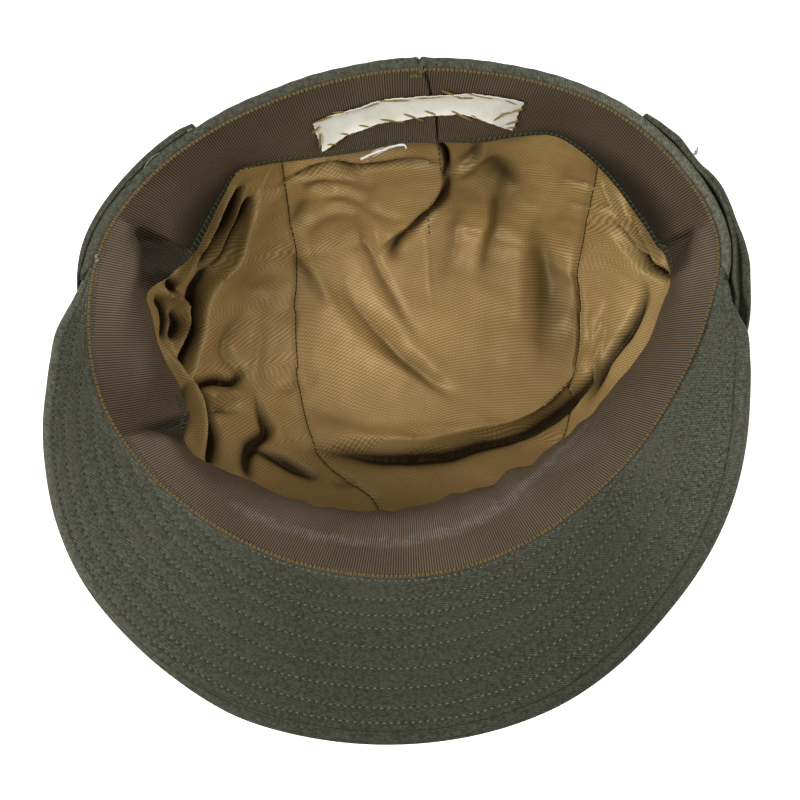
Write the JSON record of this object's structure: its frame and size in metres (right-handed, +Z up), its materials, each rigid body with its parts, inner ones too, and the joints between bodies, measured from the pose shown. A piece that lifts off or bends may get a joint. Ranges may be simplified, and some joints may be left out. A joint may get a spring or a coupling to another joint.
{
  "type": "peaked wool field cap",
  "caption": "Soft wool cap with a stitched crescent peak, lying crown down, its lined head opening with an inner ribbon band facing up.",
  "frame": {"origin": "middle of the flat where the crown rests, under the axis of the head opening", "axes": "+Z up, out of the head opening while the cap lies on its crown; the peak points along -Y; the wearer's left is -X"},
  "size_m": [0.2259, 0.2169, 0.1144],
  "materials": {
    "wool": "olive drab wool twill, matt",
    "peak_wool": "olive drab wool twill with rows of stitching, matt",
    "ribbon": "brown ribbed rayon ribbon, slightly worn",
    "lining": "golden brown rayon satin twill, soft sheen",
    "tape": "off-white cotton twill tape, aged"
  },
  "bodies": {
    "root": {"crown_center_panel": "wool", "crown_side_left": "wool", "crown_side_right": "wool", "side_band": "wool", "front_cuff": "wool", "peak_under": "peak_wool", "peak_top": "peak_wool", "sweatband": "ribbon", "lining_center_panel": "lining", "lining_side_left": "lining", "lining_side_right": "lining", "name_tape": "tape", "inner_tag": "tape"}
  },
  "joints": []
}
